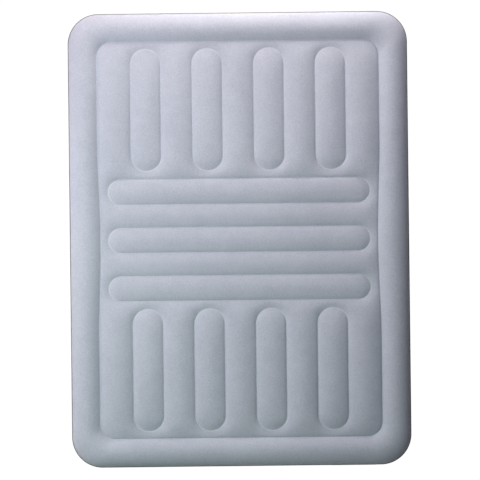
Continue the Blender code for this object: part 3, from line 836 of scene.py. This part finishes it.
def eased(corners, radius, pitch=0.0009):
    """A closed profile, corners off the axis rounded by quadratic curves, runs cut into short lengths."""
    corners = np.array(corners, float)
    before, after = np.roll(corners, 1, 0) - corners, np.roll(corners, -1, 0) - corners
    room = np.minimum(np.linalg.norm(before, axis=1), np.linalg.norm(after, axis=1)) * 0.48
    cut = np.where(corners[:, 0] < 1e-9, 0, np.minimum(radius, room))[:, None]
    start = corners + before / np.linalg.norm(before, axis=1)[:, None] * cut
    end = corners + after / np.linalg.norm(after, axis=1)[:, None] * cut
    t = np.linspace(0, 1, 5)[:, None]
    line = []
    for here, first, last, following in zip(corners, start, end, np.roll(start, -1, 0)):
        line.append((1 - t) ** 2 * first + 2 * t * (1 - t) * here + t ** 2 * last)
        count = max(int(np.linalg.norm(following - last) / pitch), 1)
        line.append(last + (following - last) * (np.arange(1, count) / count)[:, None])
    line = np.concatenate(line)
    keep = np.linalg.norm(line - np.roll(line, 1, 0), axis=1) > 1e-7
    return line[keep]


def in_valve(across, up, out):
    """From the valve's own frame, X across, Y up and Z out of the wall, to the bed's."""
    return np.stack([VALVE_X + across, -HALF_L - out, VALVE_Z + up], -1)


def turned(profile, steps=TURN_STEPS, shape=None):
    """Turns a closed (radius, height) profile about the valve's axis; shape may change a point's radius."""
    profile = np.array(profile)
    radius, out = profile.T
    if (radius * np.roll(out, -1) - np.roll(radius, -1) * out).sum() < 0:
        radius, out = radius[::-1], out[::-1]
    turn = np.linspace(0, 2 * np.pi, steps, endpoint=False)[None, :]
    radius, out = np.repeat(radius[:, None], steps, 1), np.repeat(out[:, None], steps, 1)
    if shape:
        radius = shape(radius, out, np.broadcast_to(turn, radius.shape))
    points = in_valve(radius * np.cos(turn), radius * np.sin(turn), out).reshape(-1, 3)
    return points, ring_faces(len(profile), steps, closed=True)


def pad(centre, half, edge=0.3, steps=14):
    """A block with rounded edges: a superellipsoid by its two angles, sines and cosines raised to edge."""
    def raised(value):
        value = np.round(value, 9)
        return np.sign(value) * np.abs(value) ** edge
    lift = np.linspace(-np.pi / 2, np.pi / 2, steps + 1)[:, None]
    turn = np.linspace(-np.pi, np.pi, 2 * steps, endpoint=False)[None, :]
    across = half[0] * raised(np.cos(lift)) * raised(np.cos(turn)) + centre[0]
    up = half[1] * raised(np.cos(lift)) * raised(np.sin(turn)) + centre[1]
    out = half[2] * raised(np.sin(lift)) * np.ones_like(turn) + centre[2]
    return in_valve(across, up, out).reshape(-1, 3), ring_faces(steps + 1, 2 * steps)


def rod(centre, radius, half_l, steps=24):
    """A round bar along X with rounded ends: a rounded profile turned about its own axis."""
    corners = [(0, -half_l), (radius, -half_l), (radius, half_l), (0, half_l)]
    reach, length = eased(corners, radius * 0.4, radius).T
    turn = np.linspace(0, 2 * np.pi, steps, endpoint=False)[None, :]
    across = np.repeat(length[:, None], steps, 1) + centre[0]
    up = centre[1] + reach[:, None] * np.cos(turn)
    out = centre[2] + reach[:, None] * np.sin(turn)
    points = in_valve(across, up, out)
    return points.reshape(-1, 3), ring_faces(len(length), steps, closed=True)


def assembled(name, shells):
    """One object from several closed shells of points and quads; points that meet at a pole become one."""
    points, faces, start = [], [], 0
    for shell_points, shell_faces in shells:
        points.append(shell_points)
        faces.append(shell_faces + start)
        start += len(shell_points)
    made = surface_object(name, np.concatenate(points), np.concatenate(faces))
    weld_joins(made, 1e-7)
    made.data.set_sharp_from_angle(angle=math.radians(50))
    return made


def valve_base():
    back = -(SIDE_T + GAP)
    floor = -(CUP_DEPTH + CUP_WALL)
    neck = NECK_R + NECK_WALL
    body = turned(eased([
        (CUP_OUTER, 0), (CUP_OUTER, back), (FLANGE_R, back),
        (FLANGE_R, back - FLANGE_T), (CUP_OUTER, back - FLANGE_T), (CUP_OUTER, floor),
        (neck, floor), (neck, -NECK_DEPTH), (NECK_R, -NECK_DEPTH), (NECK_R, NECK_LIP),
        (neck, NECK_LIP), (neck, -CUP_DEPTH), (CUP_R, -CUP_DEPTH), (CUP_R, 0),
    ], 0.0005))
    shells = [body]
    web_half = ((CUP_R - neck) / 2 + 0.0004, 0.0008, 0.0012)
    for web in range(6):
        turn = math.pi / 6 + web * math.pi / 3
        points, faces = pad((0, 0, -CUP_DEPTH + 0.0006), web_half, 0.35, 8)
        across, up = points[:, 0] - VALVE_X + (CUP_R + neck) / 2, points[:, 2] - VALVE_Z
        points[:, 0] = VALVE_X + across * math.cos(turn) - up * math.sin(turn)
        points[:, 2] = VALVE_Z + across * math.sin(turn) + up * math.cos(turn)
        shells.append((points, faces))
    return assembled("valve_cup", shells)


def moulded_finish(name, dark, light, roughness, bump=0.00004):
    """Moulded plastic: near-even colour, a faint spark-eroded grain from the mould, slightly uneven gloss."""
    made = Finish(name)
    made.shader.inputs["Specular IOR Level"].default_value = 0.5
    tone = made.blend(made.noise(45, 3, 0.5), dark, light)
    gloss = made.noise(110, 4, 0.6) * 0.14 + (roughness - 0.07)
    return made.set(Base_Color=tone, Roughness=gloss, Normal=made.bump(made.noise(2600, 3, 0.6), 0.5, bump))


valve_plastic = moulded_finish("valve_plastic", (0.165, 0.178, 0.205, 1), (0.190, 0.203, 0.232, 1), 0.40)
base_object = valve_base()
base_object.data.materials.append(valve_plastic)
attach(base_object, "mattress")
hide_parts("valve_base")


# Seal: a soft black rubber ring under the insert's head, squeezed on the neck's lip when the insert is home.
seal_low, seal_high = (np.array(corner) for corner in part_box("valve_seal"))
SEAL_OUTER = (seal_high[0] - seal_low[0]) / 2
SEAL_HALF_W = 0.00085


def valve_seal():
    """A circle, a touch flatter than wide, turned about the valve's axis."""
    turn = np.linspace(0, 2 * np.pi, 20, endpoint=False)
    middle = HEAD_BOTTOM - GAP - SEAL_T / 2
    radius = SEAL_OUTER - SEAL_HALF_W + SEAL_HALF_W * np.cos(turn)
    section = np.stack([radius, middle + SEAL_T / 2 * np.sin(turn)], 1)
    return assembled("rubber_seal", [turned(section)])


seal_object = valve_seal()
seal_rubber = moulded_finish("seal_rubber", (0.018, 0.018, 0.020, 1), (0.030, 0.030, 0.032, 1), 0.62, 0.00003)
seal_object.data.materials.append(seal_rubber)
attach(seal_object, "insert_seal")
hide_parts("valve_seal")


# Inflation insert: screws into the neck. A scalloped head for the fingers, a threaded skirt, and the nozzle
# in its middle that takes the pump, with two lugs at its inner end for the flap's pin.
NOZZLE_R = 0.0105
NOZZLE_WALL = 0.0015
NOZZLE_END = HEAD_TOP - 0.0219
SEAT_R = NOZZLE_R - 0.0025
SEAT_T = 0.0016
SKIRT_R = NECK_R - 0.0004
SKIRT_END = HEAD_BOTTOM - 0.0168
INSERT_WALL = 0.0016
THREAD_LEAD = 0.00107 * 2 * math.pi
THREAD_H = 0.00028
KNUCKLE_R = 0.0017
KNUCKLE_W = 0.0050
LUG_T = 0.0012
PIN_R = 0.0006
PIN_Y = NOZZLE_R + NOZZLE_WALL + 0.0005 + KNUCKLE_R
FLAP_T = 0.0010
FLAP_TOP = NOZZLE_END - GAP
PIN_Z = FLAP_TOP - FLAP_T / 2


def insert_shape(radius, out, turn):
    """Scallops: 20 shallow hollows round the head's rim. Thread: two right-hand ridges, one lead a turn."""
    rim = np.clip((radius - HEAD_R + 0.0012) / 0.0010, 0, 1)
    scallop = 0.00055 * rim * (0.5 + 0.5 * np.cos(20 * turn)) ** 2
    ridge = np.maximum(np.cos(2 * (turn - 2 * np.pi * out / THREAD_LEAD)), 0) ** 3
    skirt = (np.abs(radius - SKIRT_R) < 0.00004) & (out < HEAD_BOTTOM - 0.0012)
    fade = np.clip((HEAD_BOTTOM - 0.0012 - out) / 0.002, 0, 1) * np.clip((out - SKIRT_END) / 0.002, 0, 1)
    return radius - scallop + skirt * ridge * fade * THREAD_H


def inflation_insert():
    nozzle_outer = NOZZLE_R + NOZZLE_WALL
    body = turned(eased([
        (NOZZLE_R, HEAD_TOP), (HEAD_R, HEAD_TOP), (HEAD_R, HEAD_BOTTOM), (SKIRT_R, HEAD_BOTTOM),
        (SKIRT_R, SKIRT_END), (SKIRT_R - INSERT_WALL, SKIRT_END), (SKIRT_R - INSERT_WALL, HEAD_BOTTOM),
        (nozzle_outer, HEAD_BOTTOM), (nozzle_outer, NOZZLE_END), (SEAT_R, NOZZLE_END),
        (SEAT_R, NOZZLE_END + SEAT_T), (NOZZLE_R, NOZZLE_END + SEAT_T),
    ], 0.0004, 0.0006), 144, insert_shape)
    shells = [body]
    for side in (-1, 1):
        middle = side * (KNUCKLE_W / 2 + GAP + LUG_T / 2)
        low, high = nozzle_outer - NOZZLE_WALL / 2, PIN_Y + KNUCKLE_R
        centre = (middle, (low + high) / 2, PIN_Z + KNUCKLE_R / 2)
        shells.append(pad(centre, (LUG_T / 2, (high - low) / 2, 1.5 * KNUCKLE_R), 0.3, 10))
    return assembled("screw_insert", shells)


insert_object = inflation_insert()
insert_object.data.materials.append(valve_plastic)
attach(insert_object, "valve_insert")
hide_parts("inflation_insert")


# Flap pin: a short plastic rod through the lugs, which the flap swings on.
def flap_pin():
    return assembled("flap_pin_rod", [rod((0, PIN_Y, PIN_Z), PIN_R, KNUCKLE_W / 2 + GAP + 1.5 * LUG_T)])


pin_object = flap_pin()
pin_plastic = moulded_finish("pin_plastic", (0.72, 0.72, 0.70, 1), (0.80, 0.80, 0.78, 1), 0.34)
pin_object.data.materials.append(pin_plastic)
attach(pin_object, "valve_insert")
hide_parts("flap_pin")


# Check flap: a soft silicone disc that air from a pump pushes open and the bed's own pressure shuts. Its
# tab ends in a knuckle round the pin.
def check_flap():
    """A turned disc with a raised bead near its edge, a flat tab, and a knuckle along X."""
    flap_r = SEAT_R + 0.0018
    low = FLAP_TOP - FLAP_T
    disc = turned(eased([
        (0, low), (flap_r - 0.0016, low), (flap_r - 0.0012, low - 0.0002),
        (flap_r, low), (flap_r, FLAP_TOP), (0, FLAP_TOP),
    ], 0.00025))
    reach = (flap_r - FLAP_T, PIN_Y - PIN_R - GAP)
    tab_half = (KNUCKLE_W / 2, (reach[1] - reach[0]) / 2, FLAP_T / 2 - 0.00005)
    tab = pad((0, sum(reach) / 2, FLAP_TOP - FLAP_T / 2), tab_half, 0.25, 8)
    steps = 40
    turn = np.linspace(0, 2 * np.pi, steps, endpoint=False)[None, :]
    half, bore = KNUCKLE_W / 2, PIN_R + GAP
    radius, length = eased([(bore, -half), (KNUCKLE_R, -half), (KNUCKLE_R, half), (bore, half)], 0.0003).T
    up, out = PIN_Y + radius[:, None] * np.cos(turn), PIN_Z + radius[:, None] * np.sin(turn)
    points = in_valve(np.repeat(length[:, None], steps, 1), up, out)
    knuckle = (points.reshape(-1, 3), ring_faces(len(length), steps, closed=True))
    return assembled("silicone_flap", [disc, tab, knuckle])


def silicone_finish():
    made = Finish("flap_silicone", Subsurface_Weight=0.25, Subsurface_Scale=0.002)
    tone = made.blend(made.noise(120, 3, 0.5), (0.62, 0.62, 0.58, 1), (0.70, 0.70, 0.66, 1))
    return made.set(Base_Color=tone, Roughness=made.noise(300, 3, 0.5) * 0.15 + 0.33)


flap_object = check_flap()
flap_object.data.materials.append(silicone_finish())
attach(flap_object, "valve_flap")
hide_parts("check_flap")


# Tether ring and plug: one soft light-grey moulding in the real valve. The ring is held round the insert's
# head, and the plug folds on its strap to open or shut the nozzle; a tab opposite the strap pulls it out.
RING_W = 0.0035
RING_R = HEAD_R - 0.0004 - RING_W
STRAP_W = 0.0080
STRAP_END = math.sqrt(RING_R ** 2 - (STRAP_W / 2) ** 2) - GAP
PLUG_HEAD_R = NOZZLE_R + 0.0025
PLUG_LOW, PLUG_TOP = -(PLUG_SINK + PLUG_HEAD_T), -PLUG_SINK
PLUG_SKIRT_R = NOZZLE_R - 0.0004
PLUG_TIP_R = PLUG_SKIRT_R - 0.0008
PLUG_WALL = 0.0015
PLUG_TIP = PLUG_LOW - 0.0050


def tether_ring():
    ends = [(RING_R, PLUG_LOW), (RING_R + RING_W, PLUG_LOW), (RING_R + RING_W, PLUG_TOP), (RING_R, PLUG_TOP)]
    return assembled("tether_ring_band", [turned(eased(ends, 0.0004))])


def plug_shape(radius, out, turn):
    """Two shallow beads round the skirt grip the nozzle: a raised cosine of the depth."""
    skirt = (radius > PLUG_TIP_R - 0.0001) & (radius < PLUG_SKIRT_R + 0.0001) & (out < PLUG_LOW - 0.0004)
    bead = np.maximum(np.cos((out - PLUG_LOW) * 2 * np.pi / 0.0020), 0) ** 2
    return radius + skirt * bead * 0.00012


def plug():
    body = turned(eased([
        (0, PLUG_TOP), (PLUG_HEAD_R, PLUG_TOP), (PLUG_HEAD_R, PLUG_LOW), (PLUG_SKIRT_R, PLUG_LOW),
        (PLUG_TIP_R, PLUG_TIP), (PLUG_TIP_R - PLUG_WALL, PLUG_TIP),
        (PLUG_SKIRT_R - PLUG_WALL, PLUG_LOW), (0, PLUG_LOW),
    ], 0.00045, 0.0005), TURN_STEPS, plug_shape)
    shells = [body]
    root = PLUG_HEAD_R - PLUG_WALL
    for side in (1, -1):
        centre = (0, side * (root + STRAP_END) / 2, (PLUG_LOW + PLUG_TOP) / 2)
        shells.append(pad(centre, (STRAP_W / 2, (STRAP_END - root) / 2, PLUG_HEAD_T / 2 - 0.00006), 0.22))
    return assembled("stopper_plug", shells)


plug_plastic = moulded_finish("plug_plastic", (0.47, 0.49, 0.54, 1), (0.52, 0.54, 0.59, 1), 0.42)
ring_object = tether_ring()
ring_object.data.materials.append(plug_plastic)
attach(ring_object, "valve_insert")
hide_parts("tether_ring")
plug_object = plug()
plug_object.data.materials.append(plug_plastic)
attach(plug_object, "valve_plug")
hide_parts("plug")
